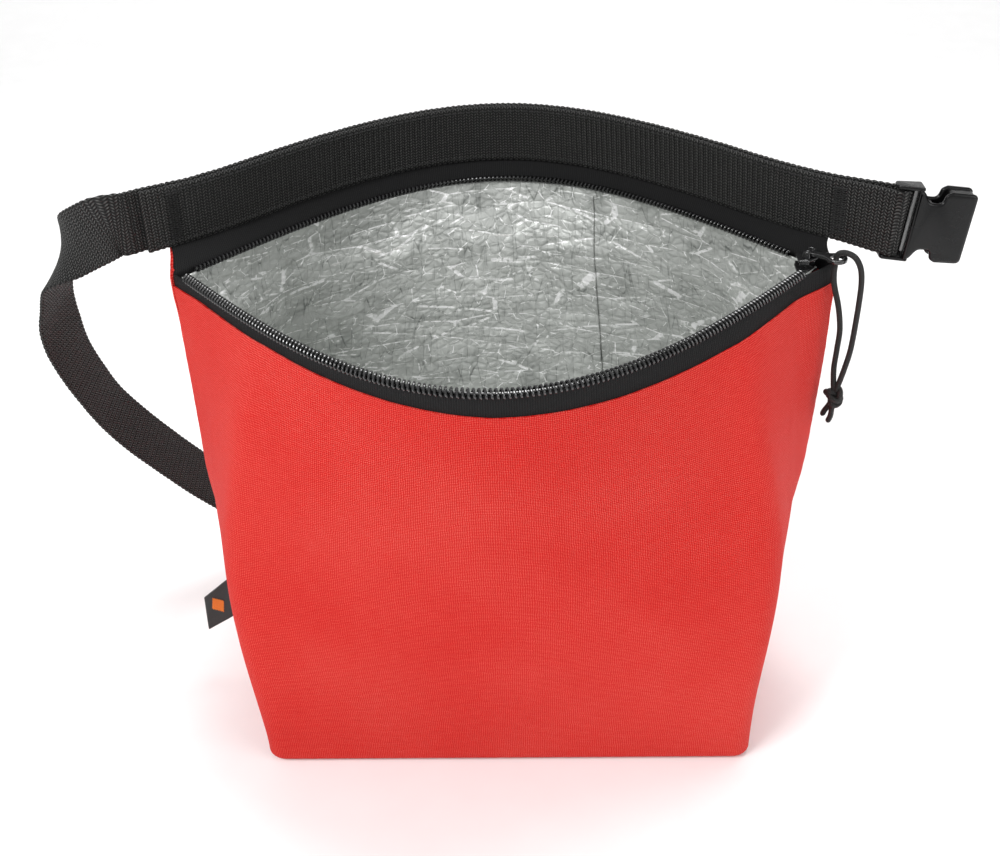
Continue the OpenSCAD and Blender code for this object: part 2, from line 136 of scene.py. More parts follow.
# ---------------- mesh building
class Shape:
    """Collects faces of one piece, in millimetres, with a UV map in millimetres."""

    def __init__(self, name):
        self.name, self.verts, self.faces, self.uvs, self.count = name, [], [], [], 0

    def add(self, points):
        points = np.asarray(points, float).reshape(-1, 3)
        start = self.count
        self.verts.append(points)
        self.count += len(points)
        return start

    def quads(self, index, uv):
        self.faces += index.reshape(-1, 4).tolist()
        self.uvs.append(uv.reshape(-1, 2))

    def face(self, index, uv=None):
        self.faces.append(list(index))
        self.uvs.append(np.zeros((len(index), 2)) if uv is None else np.asarray(uv, float))

    def grid(self, points, u, v, wrap=False, start=None):
        """Faces over points (rows, cols, 3); u runs along rows, v along cols (one more if it wraps)."""
        rows, cols = points.shape[:2]
        start = self.add(points) if start is None else start
        i, j = np.meshgrid(np.arange(rows - 1), np.arange(cols if wrap else cols - 1), indexing="ij")
        k = (j + 1) % cols
        index = np.stack([i * cols + j, i * cols + k, (i + 1) * cols + k, (i + 1) * cols + j], -1) + start
        u, v = np.asarray(u, float), np.asarray(v, float)
        uv = np.stack([np.stack([u[i], v[j]], -1), np.stack([u[i], v[j + 1]], -1),
                       np.stack([u[i + 1], v[j + 1]], -1), np.stack([u[i + 1], v[j]], -1)], -2)
        self.quads(index, uv)
        return start

    def slab(self, outer, inner, u, v):
        """A closed sheet between two grids of the same size."""
        rows, cols = outer.shape[:2]
        a = self.grid(outer, u, v)
        b = self.grid(inner, u, v)
        edge = [(i, 0) for i in range(rows)] + [(rows - 1, j) for j in range(1, cols)]
        edge += [(i, cols - 1) for i in range(rows - 2, -1, -1)] + [(0, j) for j in range(cols - 2, 0, -1)]
        for (i, j), (k, l) in zip(edge, edge[1:] + edge[:1]):
            p, q = i * cols + j, k * cols + l
            self.face([a + p, a + q, b + q, b + p], [[u[i], v[j]], [u[k], v[l]], [u[k], v[l]], [u[i], v[j]]])

    def tube(self, points, radius, sides=10, ref=None, caps=True):
        """A round tube along points; ref is a direction, or one per point, that its rings turn about."""
        p = np.asarray(points, float)
        t = unit(np.gradient(p, axis=0))
        ref = np.broadcast_to(np.asarray([0, 1, 0] if ref is None else ref, float), p.shape)
        a = unit(np.cross(t, ref))
        b = np.cross(t, a)
        w = np.linspace(0, TAU, sides, endpoint=False)
        radius = np.broadcast_to(np.asarray(radius, float), len(p))[:, None, None]
        across = np.cos(w)[None, :, None] * a[:, None]
        ring = p[:, None] + radius * (across + np.sin(w)[None, :, None] * b[:, None])
        around = np.append(w, TAU) * float(radius.mean())
        start = self.grid(ring, run_of(p), around, wrap=True)
        if caps:
            self.close(start, len(p), sides)

    def close(self, start, rows, cols):
        """Faces over the two open ends of a wrapped grid."""
        last = start + (rows - 1) * cols
        self.face([start + k for k in range(cols)][::-1])
        self.face([last + k for k in range(cols)])

    def plate(self, loops, z0, z1, r, place, steps=4):
        """A flat plate of an outline and its holes (2D), from z0 to z1, its edges rounded by r."""
        turn = np.linspace(0, math.pi / 2, steps)
        levels = [(z0 + r - r * math.cos(t), r - r * math.sin(t)) for t in turn]
        levels += [(z1 - r + r * math.sin(t), r - r * math.cos(t)) for t in turn]
        ends = {0: [], len(levels) - 1: []}
        for k, loop in enumerate(loops):
            loop = np.asarray(loop, float)
            area = np.sum(loop[:, 0] * np.roll(loop[:, 1], -1) - loop[:, 1] * np.roll(loop[:, 0], -1))
            if (area > 0) != (k == 0):
                loop = loop[::-1]
            ahead, behind = unit(np.roll(loop, -1, 0) - loop), unit(loop - np.roll(loop, 1, 0))
            tangent = unit(ahead + behind)
            normal = np.stack([-tangent[:, 1], tangent[:, 0]], 1)
            stretch = 1 / np.clip(np.sum(tangent * ahead, 1), 0.6, 1)
            rings = []
            for z, inset in levels:
                flat = loop + normal * (inset * stretch)[:, None]
                rings.append(np.column_stack([flat, np.full(len(flat), z)]))
            rings = np.array(rings)
            start = self.grid(place(rings), [z for z, _ in levels], np.append(run_of(rings[0]), 0), wrap=True)
            for end in ends:
                ends[end].append((start + end * len(loop), rings[end]))
        for end, parts in ends.items():
            index = np.concatenate([np.arange(s, s + len(p)) for s, p in parts])
            flat = np.concatenate([p for _, p in parts])
            for tri in tessellate_polygon([[Vector(q) for q in p] for _, p in parts]):
                self.face([int(index[t]) for t in tri], [flat[t][:2] for t in tri])

    def build(self, material, sharp=40.0):
        mesh = bpy.data.meshes.new(self.name)
        mesh.from_pydata((np.concatenate(self.verts) * MM).tolist(), [], self.faces)
        layer = mesh.uv_layers.new(name="mm")
        layer.data.foreach_set("uv", np.concatenate(self.uvs).astype(np.float32).ravel())
        bm = bmesh.new()
        bm.from_mesh(mesh)
        bmesh.ops.recalc_face_normals(bm, faces=bm.faces)
        bm.to_mesh(mesh)
        bm.free()
        mesh.polygons.foreach_set("use_smooth", [True] * len(mesh.polygons))
        mesh.set_sharp_from_angle(angle=math.radians(sharp))
        mesh.materials.append(material)
        return add_object(self.name, mesh)


def fillet(corners, n=6):
    """An outline from corners (x, y, radius), each rounded by its radius."""
    out = []
    c = np.array([[a[0], a[1]] for a in corners], float)
    for k, (x, y, r) in enumerate(corners):
        p, a, b = c[k], c[k - 1], c[(k + 1) % len(c)]
        if r <= 0:
            out.append(p)
            continue
        da, db = unit(a - p), unit(b - p)
        half = math.acos(max(-1, min(1, float(da @ db)))) / 2
        reach = min(r / max(math.tan(half), 1e-6), 0.49 * np.linalg.norm(a - p), 0.49 * np.linalg.norm(b - p))
        s, e = p + da * reach, p + db * reach
        for t in np.linspace(0, 1, n):
            out.append((1 - t) ** 2 * s + 2 * t * (1 - t) * p + t**2 * e)
    return np.array(out)


def circle(x, y, r, n=28):
    a = np.linspace(0, TAU, n, endpoint=False)
    return np.stack([x + r * np.cos(a), y + r * np.sin(a)], 1)


# ---------------- materials
class Ex:
    """A value in a material's node tree, with arithmetic."""

    def __init__(self, tree, socket):
        self.tree, self.socket = tree, socket

    def op(self, name, *others):
        node = self.tree.nodes.new("ShaderNodeMath")
        node.operation = name
        for k, value in enumerate((self,) + others):
            if isinstance(value, Ex):
                self.tree.links.new(value.socket, node.inputs[k])
            else:
                node.inputs[k].default_value = value
        return Ex(self.tree, node.outputs[0])

    def __add__(self, o):
        return self.op("ADD", o)

    def __sub__(self, o):
        return self.op("SUBTRACT", o)

    def __mul__(self, o):
        return self.op("MULTIPLY", o)

    def __truediv__(self, o):
        return self.op("DIVIDE", o)

    def sin(self):
        return self.op("SINE")

    def abs(self):
        return self.op("ABSOLUTE")

    def floor(self):
        return self.op("FLOOR")

    def mod(self, o):
        return self.op("FLOORED_MODULO", o)

    def clamp(self):
        return self.op("MAXIMUM", 0.0).op("MINIMUM", 1.0)

    def mix(self, a, b):
        """a where this is 0, b where it is 1."""
        inverse = self.op("MULTIPLY_ADD", -1.0, 1.0)
        return inverse * a + self * b


class Material:
    """A principled material with named helpers for its textures."""

    def __init__(self, name, color, roughness, metallic=0.0, specular=0.5, sheen=0.0, coat=0.0):
        self.mat = bpy.data.materials.new(name)
        self.mat.use_nodes = True
        self.tree = self.mat.node_tree
        self.bsdf = self.tree.nodes["Principled BSDF"]
        for key, value in (("Base Color", (*color, 1)), ("Roughness", roughness), ("Metallic", metallic),
                           ("Specular IOR Level", specular), ("Sheen Weight", sheen), ("Coat Weight", coat)):
            self.bsdf.inputs[key].default_value = value

    def node(self, kind, **values):
        """A new node, with values for its inputs of those names."""
        node = self.tree.nodes.new("ShaderNode" + kind)
        for key, value in values.items():
            node.inputs[key].default_value = value
        return node

    def link(self, source, target):
        self.tree.links.new(source, target)

    def vector_op(self, name, value, source, added=None):
        node = self.node("VectorMath")
        node.operation = name
        node.inputs[1].default_value = value
        self.link(source, node.inputs[0])
        if added:
            self.link(added, node.inputs[2])
        return node.outputs[0]

    def map_mm(self):
        node = self.node("UVMap")
        node.uv_map = "mm"
        return node.outputs[0]

    def uv(self):
        split = self.node("SeparateXYZ")
        self.link(self.map_mm(), split.inputs[0])
        return Ex(self.tree, split.outputs[0]), Ex(self.tree, split.outputs[1])

    def place(self, space, scale):
        """Where a texture is looked up: in the object's metres, or in the map's millimetres."""
        source = self.map_mm() if space == "mm" else self.node("TexCoord").outputs[space]
        return self.vector_op("MULTIPLY", scale, source)

    def noise(self, scale, detail=3.0, space="Object", stretch=(1, 1, 1)):
        node = self.node("TexNoise", Scale=scale, Detail=detail)
        self.link(self.place(space, stretch), node.inputs["Vector"])
        return Ex(self.tree, node.outputs[0])

    def cells(self, scale, space="mm", stretch=(1, 1, 1), warp=0.0, seed=0.0):
        """Distance to the nearest edge of a pattern of cells."""
        node = self.node("TexVoronoi")
        node.feature = "DISTANCE_TO_EDGE"
        node.inputs["Scale"].default_value = scale
        where = self.place(space, stretch)
        if warp:
            bend = self.node("TexNoise", Scale=scale * 0.6)
            self.link(where, bend.inputs["Vector"])
            where = self.vector_op("MULTIPLY_ADD", (warp, warp, 0), bend.outputs[1], where)
        where = self.vector_op("ADD", (seed, seed * 0.7, seed * 0.3), where)
        self.link(where, node.inputs["Vector"])
        return Ex(self.tree, node.outputs[0])

    def color(self, value, stops):
        """Colours the surface by value; stops are positions from 0 to 1 and their colours."""
        node = self.node("ValToRGB")
        while len(node.color_ramp.elements) < len(stops):
            node.color_ramp.elements.new(0.5)
        for element, (at, color) in zip(node.color_ramp.elements, stops):
            element.position = at
            element.color = (*color, 1)
        self.link(value.socket, node.inputs[0])
        self.link(node.outputs[0], self.bsdf.inputs["Base Color"])

    def roughness(self, value):
        self.link(value.socket, self.bsdf.inputs["Roughness"])

    def bump(self, value, distance_mm, strength=1.0):
        node = self.node("Bump", Distance=distance_mm * MM, Strength=strength)
        self.link(value.socket, node.inputs["Height"])
        previous = self.bsdf.inputs["Normal"].links
        if previous:
            self.link(previous[0].from_socket, node.inputs["Normal"])
        self.link(node.outputs[0], self.bsdf.inputs["Normal"])


def woven(m, pitch, u=None, v=None):
    """Height of a plain weave: yarns pass over and under each other, one pitch wide."""
    if u is None:
        u, v = m.uv()
    across = (u * (math.pi / pitch)).sin().abs()
    along = (v * (math.pi / pitch)).sin().abs()
    over = ((u / pitch).floor() + (v / pitch).floor()).mod(2.0)
    return over.mix(across * 0.35 + along * 0.65 * along, along * 0.35 + across * 0.65 * across)


def red_fabric():
    m = Material("red polyester", (0.62, 0.014, 0.009), 0.75, specular=0.14)
    u, v = m.uv()
    drift = m.noise(0.35, 2.0, "mm") * 0.9
    weave = woven(m, 0.78, u + drift, v - drift)
    cloud = m.noise(14.0, 4.0)
    slub = m.noise(1.3, 2.0, "mm", (0.14, 1.6, 1))
    # The weave's raised yarns are painted lighter pink as highlight and its hollows darker as painted shade;
    # cloud and slub are the cloth's own uneven tone.
    tone = weave * 0.66 + cloud * 0.24 + slub * 0.2
    m.color(tone, [(0.22, (0.46, 0.004, 0.003)), (0.5, (0.60, 0.011, 0.008)), (0.72, (0.68, 0.042, 0.032)),
                   (0.92, (0.78, 0.15, 0.12))])
    m.roughness(weave * -0.15 + 0.78)
    m.bump(weave, 0.25, 0.9)
    return m.mat


def foil():
    """Grey metallised film whose thin creases are painted into its colour as broken white dashes of
    highlight, with painted shade along its creases.
    """
    m = Material("metallised liner", (0.7, 0.72, 0.69), 0.42, metallic=0.3, specular=0.5)
    level = m.cells(0.062, "mm", (0.42, 2.0, 1), warp=1.8, seed=3.0)
    slant = m.cells(0.10, "mm", (0.9, 1.4, 1), warp=1.6, seed=19.0)
    fine = m.cells(0.26, "mm", (0.8, 1.2, 1), warp=1.5, seed=7.0)
    upright = m.cells(0.12, "mm", (1.7, 0.3, 1), warp=2.2, seed=11.0)
    breaks = m.noise(0.09, 3.0, "mm", (0.8, 1.3, 1))
    dash = m.noise(0.4, 2.0, "mm")
    on = ((breaks - 0.44) * 9.0).clamp() * ((dash - 0.38) * 7.0).clamp()
    # The three line masks here are painted highlights: broken white dashes along the creases, put in the
    # colour.
    line = ((level * -16.0 + 0.52) * 4.0).clamp() * on
    slant_glint = ((slant * -16.0 + 0.44) * 4.0).clamp() * ((dash - 0.47) * 9.0).clamp()
    fine_glint = ((fine * -9.0 + 0.36) * 3.0).clamp() * ((breaks - 0.42) * 6.0).clamp() * 0.6
    # dark is painted shade in the upright creases; shade is painted shade beside the slanting ones.
    dark = ((upright * -11.0 + 0.36) * 3.0).clamp() * ((breaks * -1.0 + 0.60) * 5.0).clamp()
    shade = ((slant - 0.02) * -14.0 + 0.5).clamp() * (slant_glint * -1.0 + 1.0).clamp()
    haze = m.noise(0.05, 5.0, "mm", (1, 1.2, 1))
    # grain is darker along the fine creases, which is painted shade there, and it also drives the fine bump.
    grain = (fine * 3.2).clamp()
    tone = haze * 0.46 + grain * 0.12 + line * 0.95 + slant_glint * 0.6 + fine_glint * 0.35 - dark * 0.2 - shade * 0.07
    m.color(tone, [(0.06, (0.22, 0.232, 0.22)), (0.30, (0.54, 0.556, 0.535)), (0.46, (0.63, 0.648, 0.622)),
                   (0.90, (1.0, 1.0, 1.0))])
    m.roughness(haze * 0.2 + 0.34 - line * 0.12)
    m.bump((level * 4.0).clamp() * 0.6 + (upright * 5.0).clamp() * 0.4, 0.5, 0.7)
    m.bump(grain, 0.3, 0.7)
    return m.mat


def webbing_black():
    """Ribs across the webbing, each of slanting yarns that lean the other way in the next rib."""
    m = Material("black webbing", (0.006, 0.006, 0.006), 0.6, specular=0.3)
    u, v = m.uv()
    rib = (u * (math.pi / 1.2)).sin().abs()
    lean = (u / 1.2).floor().mod(2.0)
    inside = u.mod(1.2)
    slant = lean.mix(v + inside * 0.85, v - inside * 0.85)
    yarn = (slant * (math.pi / 1.25)).sin().abs()
    height = rib * 0.35 + yarn * 0.65
    fleck = m.noise(1.7, 2.0, "mm")
    # The raised yarns are painted lighter as highlight and the hollows darker as painted shade; fleck is the
    # yarn's own uneven tone.
    tone = height * 0.72 + fleck * 0.42
    m.color(tone, [(0.35, (0.0006, 0.0006, 0.0007)), (0.62, (0.0022, 0.0022, 0.0023)),
                   (0.78, (0.014, 0.014, 0.0135)), (0.94, (0.09, 0.09, 0.086))])
    m.roughness(yarn * -0.22 + 0.7)
    m.bump(height, 0.6, 1.0)
    return m.mat


def tape_black():
    m = Material("zip tape", (0.005, 0.005, 0.0055), 0.8, specular=0.2)
    u, v = m.uv()
    slant = (u / 0.9).floor().mod(2.0).mix(v + u.mod(0.9), v - u.mod(0.9))
    height = (u * (math.pi / 0.9)).sin().abs() * 0.5 + (slant * (math.pi / 0.7)).sin().abs() * 0.5
    # The raised yarns are painted lighter as highlight and the hollows darker as painted shade.
    m.color(height, [(0.2, (0.0015, 0.0015, 0.0017)), (1.0, (0.016, 0.016, 0.0165))])
    m.bump(height, 0.2, 0.9)
    return m.mat


def cord_black():
    m = Material("braided cord", (0.007, 0.007, 0.007), 0.6, specular=0.4)
    u, v = m.uv()
    a = ((u + v) * (math.pi / 0.86)).sin().abs()
    b = ((u - v) * (math.pi / 0.86)).sin().abs()
    over = ((u + v) * (0.5 / 0.86)).floor() + ((u - v) * (0.5 / 0.86)).floor()
    height = over.mod(2.0).mix(a, b)
    # The strands' tops are painted lighter as highlight and the gaps between them darker as painted shade.
    m.color(height, [(0.1, (0.0015, 0.0015, 0.0015)), (1.0, (0.022, 0.022, 0.0215))])
    m.bump(height, 0.22, 0.9)
    return m.mat


def moulded(name, color, roughness, grain=0.03, coat=0.0, specular=0.5):
    """Smooth moulded or painted surface with faint grain and flow marks."""
    m = Material(name, color, roughness, specular=specular, coat=coat)
    fine = m.noise(2600.0, 2.0)
    flow = m.noise(120.0, 3.0)
    m.color(flow, [(0.2, tuple(c * 0.8 for c in color)), (0.8, tuple(c * 1.3 for c in color))])
    m.roughness(flow * 0.14 + (roughness - 0.06))
    m.bump(fine, grain, 0.5)
    return m.mat


def thread(name, dark, light, pitch=0.5):
    m = Material(name, light, 0.55, specular=0.4, sheen=0.1)
    u, v = m.uv()
    ply = ((u + v * 0.6) * (math.pi / pitch)).sin().abs()
    # The ply's tops are painted in the light colour as highlight and its grooves in the dark colour as
    # painted shade.
    m.color(ply, [(0.0, dark), (1.0, light)])
    m.bump(ply, 0.08, 0.8)
    return m.mat


def label_weave():
    m = Material("label weave", (0.015, 0.015, 0.015), 0.6, specular=0.4, sheen=0.1)
    height = woven(m, 0.32)
    # The raised yarns are painted lighter as highlight and the hollows darker as painted shade.
    m.color(height, [(0.1, (0.006, 0.006, 0.006)), (1.0, (0.03, 0.03, 0.03))])
    m.bump(height, 0.07, 0.8)
    return m.mat


def foam_material():
    m = Material("foam", (0.86, 0.86, 0.84), 0.8)
    pores = m.cells(600.0, "Object")
    m.color(pores, [(0.0, (0.6, 0.6, 0.58)), (0.5, (0.88, 0.88, 0.86))])
    m.bump(pores, 0.2, 0.6)
    return m.mat


def floor_material():
    m = Material("pale floor", (0.93, 0.93, 0.93), 0.7, specular=0.1)
    grain = m.noise(40.0, 3.0)
    m.color(grain, [(0.3, (0.925, 0.925, 0.925)), (0.7, (0.945, 0.945, 0.945))])
    m.bump(grain, 0.05, 0.2)
    return m.mat


RED = red_fabric()
FOIL = foil()
WEBBING = webbing_black()
TAPE = tape_black()
CORD = cord_black()
BUCKLE = moulded("satin acetal", (0.003, 0.003, 0.0033), 0.26, specular=0.3)
COIL = moulded("nylon coil", (0.012, 0.012, 0.0125), 0.16, grain=0.01, specular=0.9)
SLIDER = moulded("black enamel", (0.012, 0.012, 0.0125), 0.2, grain=0.01, coat=0.6)
BLACK_THREAD = thread("black thread", (0.004, 0.004, 0.004), (0.02, 0.02, 0.02))
ORANGE_THREAD = thread("orange thread", (0.5, 0.10, 0.01), (0.95, 0.30, 0.04))
LABEL = label_weave()
FOAM = foam_material()
FLOOR = floor_material()


# ---------------- camera, light, floor
CAMERA_AT = (0.0143, -0.4362, 0.4174)
LENS_MM, TURN_LEFT, LOOK_DOWN, ROLL = 45.9, 1.98, 33.2, -1.87


def camera():
    data = bpy.data.cameras.new("camera")
    data.sensor_width = 36.0
    data.lens = LENS_MM
    data.clip_start = 0.01
    obj = add_object("camera", data)
    matrix = Matrix.Translation(CAMERA_AT)
    for angle, axis in ((TURN_LEFT, "Z"), (90 - LOOK_DOWN, "X"), (ROLL, "Z")):
        matrix = matrix @ Matrix.Rotation(math.radians(angle), 4, axis)
    obj.matrix_world = matrix
    bpy.context.scene.camera = obj


def area_light(name, at, aim, size, power):
    data = bpy.data.lights.new(name, "AREA")
    data.shape = "RECTANGLE"
    data.size, data.size_y = size
    data.energy = power
    obj = add_object(name, data)
    obj.location = at
    obj.rotation_euler = (Vector(aim) - Vector(at)).to_track_quat("-Z", "Y").to_euler()


def studio():
    world = bpy.data.worlds.new("studio")
    world.use_nodes = True
    world.node_tree.nodes["Background"].inputs[0].default_value = (1, 1, 1, 1)
    world.node_tree.nodes["Background"].inputs[1].default_value = 0.55
    bpy.context.scene.world = world
    bpy.context.scene.view_settings.view_transform = "Standard"
    area_light("key", (-0.75, -0.75, 1.15), (0, 0, 0.12), (0.5, 0.5), 13)
    area_light("top", (0.15, 0.25, 1.35), (0, 0, 0.15), (0.7, 0.4), 9)
    area_light("fill", (0.95, -0.65, 0.7), (0, 0, 0.12), (0.7, 0.7), 4)
    floor = Shape("floor")
    turn = np.linspace(0, math.pi / 2, 12)
    curve = [(900 + 500 * math.sin(t), 500 * (1 - math.cos(t))) for t in turn]
    profile = [(-1500.0, 0.0)] + curve + [(1400.0, 1800.0)]
    points = np.array([[[x, y, z - 0.05] for x in np.linspace(-2200, 2200, 5)] for y, z in profile])
    floor.grid(points, np.arange(len(profile)) * 100.0, np.arange(5) * 100.0)
    obj = floor.build(FLOOR)


camera()
studio()


# ---------------- the body's outline
def half_w(q):
    return BASE_W / 2 + (MOUTH_W - BASE_W) / 2 * smooth(q / FULL_AT)


def half_d(q):
    return BASE_D / 2 + (LIP_BOW - BASE_D / 2) * np.power(q, 1.1)


def base_pt(s):
    """Half of the base's rounded outline at run s from 0 to 1, scaled to 1 each way."""
    side, arc = BASE_D / 2 - BASE_R, BASE_R * math.pi / 2
    total = 2 * side + 2 * arc + BASE_W - 2 * BASE_R
    mirrored = s > 0.5
    d = np.where(mirrored, 1 - s, s) * total
    t = np.clip((d - side) / BASE_R, 0, math.pi / 2)
    x = -BASE_W / 2 + BASE_R * (1 - np.cos(t)) + np.maximum(0, d - side - arc)
    y = -np.minimum(d, side) - BASE_R * np.sin(t)
    return np.where(mirrored, -x, x) / (BASE_W / 2), y / (BASE_D / 2)


def lens_x(s):
    return -1 + 2 * s - 0.0675 * np.sin(TAU * s)


def skin(s, z, inset):
    """Point of the front wall at run s, height z and inset from the outer skin."""
    s, z, inset = arrays(s, z, inset)
    q = np.clip(z / MOUTH_H, 0, 1)
    w = np.power(q, 1.3)
    bx, by = base_pt(s)
    mx = lens_x(s)
    x = ((1 - w) * bx + w * mx) * (half_w(q) - inset * (1 + 0.33 * w))
    y = ((1 - w) * by - w * np.cos(math.pi / 2 * mx)) * (half_d(q) - inset)
    return np.stack([x, y, z], -1)


def band_y(x):
    skew = BAND_SKEW * smooth(np.asarray(x, float) / 80)
    x = np.abs(x)
    far = BAND_BOW * math.cos(math.pi * BAND_LEAVE / BAND_CHORD) - BAND_SLOPE * (x - BAND_LEAVE)
    return np.where(x < BAND_LEAVE, BAND_BOW * np.cos(math.pi * x / BAND_CHORD), far) - skew


def band_soft(x):
    """The band's plan with its bend at the zip corners eased, as the webbing lies."""
    return sum(band_y(x + d) for d in (-9, -6, -3, 0, 3, 6, 9)) / 7


def band_pt(x, inset, plan=band_y):
    x = np.asarray(x, float)
    slope = (plan(x + 1) - plan(x - 1)) / 2
    n = unit(np.stack([-slope, np.ones_like(slope)], -1))
    return np.stack([x - n[..., 0] * inset, plan(x) - n[..., 1] * inset], -1)


def back_skin(s, z, inset):
    """The back wall, which follows the band above the zip line."""
    p = skin(s, z, inset)
    s, z, inset = arrays(s, z, inset)
    t = np.clip((z - MOUTH_H) / BAND_RISE, 0, 1)[..., None]
    b = band_pt(lens_x(s) * (MOUTH_W / 2 + 3), inset + np.clip(z - BAND_Z, 0, None) * LEAN)
    xy = (1 - t) * p[..., :2] * [1, -1] + t * b
    return np.concatenate([xy, p[..., 2:]], -1)


def normals(points):
    a, b = np.gradient(points, axis=0), np.gradient(points, axis=1)
    return unit(np.cross(b, a))


def wall_rows(top, n):
    """Heights and insets of a wall's rows: round the hem, then straight up."""
    t = np.linspace(0, math.pi / 2, 9)
    hem = np.stack([HEM_R * (1 - np.cos(t)), HEM_R * (1 - np.sin(t))], 1)
    up = np.linspace(HEM_R, top, n)[1:]
    return np.vstack([hem, np.stack([up, np.zeros_like(up)], 1)])


# The two walls lap over each other by this much at each side seam.
SEAM_LAP = 0.3
LIP_RUN = 316.0
# How much higher or lower the front's top edge runs, from the left corner to the right one.
LIP_AT = (0, 0.21, 0.36, 0.5, 0.64, 0.79, 1)
LIP_RISE = (3.0, 3.2, 0.8, -2.0, -1.8, -0.5, 0)


def seam_fin(s, z):
    """How far the walls' two ends reach out sideways, where they are sewn to each other."""
    right = 5.2 * smooth((s - 0.93) / 0.07) * smooth((z - 60) / 120)
    left = 1.8 * smooth((0.07 - s) / 0.07) * smooth((z - 40) / 80)
    return (right - left) * (1 - smooth((z - 202) / 8))


def panel(name, back, top):
    """One outer wall as a closed sheet of fabric, with soft folds and a gathered top seam."""
    rows = wall_rows(top, 120)
    s = np.linspace(0, 1, 170)
    z, inset = rows[:, 0][:, None], rows[:, 1][:, None]
    if not back:
        z = z + smooth((z - 150) / (top - 150)) * np.interp(s, LIP_AT, LIP_RISE)[None]
    # At the right corner the red fabric stops short, and the zip tape shows up to the band.
    short = 0.014 * smooth((s[None] - 0.88) / 0.12) * smooth((z - 197) / 5) * back
    outer = (back_skin if back else skin)(s[None] - short, z, inset)
    outer[..., 1] += -SEAM_LAP if back else SEAM_LAP
    outer[..., 0] += seam_fin(s[None] - short, z)
    n = normals(outer) * (1 if back else -1)
    n = n * np.sign(np.sum(n * (outer - [0, 0, 100]), -1, keepdims=True))
    seed = 40 if back else 10
    run = s[None] * LIP_RUN
    edge = np.minimum(run, LIP_RUN - run)
    drop = np.clip(top - z, 0, None)
    body = smooth(z / 25) * smooth(edge / 14) * smooth((FRONT_TOP - z) / 20)
    wave = (1.5 * noise(run / 70, z / 90, seed) + 0.6 * noise(run / 26, z / 60, seed + 1)) * smooth(edge / 60)
    fold = 0.9 * noise(run / 17, z / 130, seed + 2) * np.exp(-edge / 55) * smooth(z / 60)
    pucker = 0.28 * noise(run / 5, z / 14, seed + 3) * np.exp(-drop / 7)
    seam = -0.9 * np.exp(-((edge / 1.6) ** 2)) + 0.3 * noise(edge / 9, z / 5, seed + 4) * np.exp(-edge / 7)
    low = smooth(z / 8) * (1 - smooth((z - 186) / 10))
    outer = outer + n * ((wave + fold) * body + pucker + seam * low)[..., None]
    inner = outer - n * SHELL_T * 0.8
    shape = Shape(name)
    shape.slab(outer, inner, rows[:, 0], run[0])
    return shape


def swap_uv(shape):
    """Lets u run along the width."""
    shape.uvs = [uv[:, ::-1] for uv in shape.uvs]
    return shape


front_panel = swap_uv(panel("front_panel", False, FRONT_TOP)).build(RED)
back_panel = swap_uv(panel("back_panel", True, BAND_Z + 14)).build(RED)
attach(front_panel, "bag")
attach(back_panel, "bag")
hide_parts("front_shell")
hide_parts("back_shell")


def base_panel():
    """The boxed base, from the front hem to the back hem."""
    s = np.linspace(0, 1, 120)
    front = skin(s, 0.0, HEM_R - 0.2)
    rows = np.linspace(-1, 1, 60)[:, None, None]
    depth = np.abs(front[None][..., 1:2]) * rows
    points = front[None] * np.array([1.0, 0, 0]) + depth * np.array([0, 1.0, 0])
    lift = 0.35 + 0.35 * noise(points[..., 0] / 30, points[..., 1] / 25, 5)
    inside = smooth((1 - np.abs(rows[..., 0])) * 6) * smooth(np.minimum(s, 1 - s)[None] * 14)
    under = points + np.array([0, 0, 1.0]) * (lift * inside)[..., None]
    shape = Shape("base_panel")
    shape.slab(under, under + [0, 0, 0.8], rows[:, 0, 0] * BASE_D / 2, s * LIP_RUN)
    return shape.build(RED)


bottom = base_panel()
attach(bottom, "bag")
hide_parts("bottom_shell")


# ---------------- liner
def inward(points):
    """Level unit vectors from a wall's points towards the inside of the bag."""
    n = normals(points)
    n[..., 2] = 0
    n = unit(n)
    return -n * np.sign(np.sum(n * points, -1, keepdims=True))


def crumple(u, v, seed):
    """Depth of the crumpled foil: sharp wavy creases, mostly level, and some upright ones."""
    warp = 4 * noise(u / 17, v / 14, seed)
    level = np.abs(noise(u / 34, (v + 1.6 * warp) / 12, seed + 1))
    slant = np.abs(noise((u + v) / 24, (v - 0.45 * u) / 13, seed + 2))
    cross = np.abs(noise((u - v) / 21, (v + 0.6 * u) / 15, seed + 5))
    short = np.abs(noise((u + warp) / 8, (v + warp) / 6.5, seed + 3))
    upright = np.abs(noise((u + warp) / 8, v / 36, seed + 4))
    return 0.9 * level + 0.6 * slant + 0.4 * cross + 0.25 * short + 0.4 * upright


LINER_TOP = 202.4
FOIL_T = 0.25


def foil_face(back, s, z, lift=0.0, seed=70):
    """The crumpled face of the liner on one wall, and its level inward direction."""
    inset = np.interp(z, [5.8, 10, 176, 192, LINER_TOP], [8.5, 5.2, 5.2, 2.3, 2.0])
    base = (back_skin if back else skin)(s[None], z[:, None], inset[:, None])
    base[..., 1] += 0.05 if back else -0.05
    into = inward(base)
    run = s[None] * LIP_RUN
    ends = smooth(np.minimum(run, LIP_RUN - run) / 10) * smooth((LINER_TOP - z[:, None]) / 14 + 0.12)
    depth = crumple(run + (500 if back else 0), z[:, None], seed) * ends * smooth(z[:, None] / 22 + 0.2)
    return base + into * (depth + lift)[..., None], into


def liner(name, back):
    z, s = np.linspace(5.8, LINER_TOP, 200), np.linspace(0, 1, 330)
    face, into = foil_face(back, s, z)
    shape = Shape(name)
    shape.slab(face, face + into * FOIL_T, z, s * LIP_RUN)
    return swap_uv(shape).build(FOIL, 180)


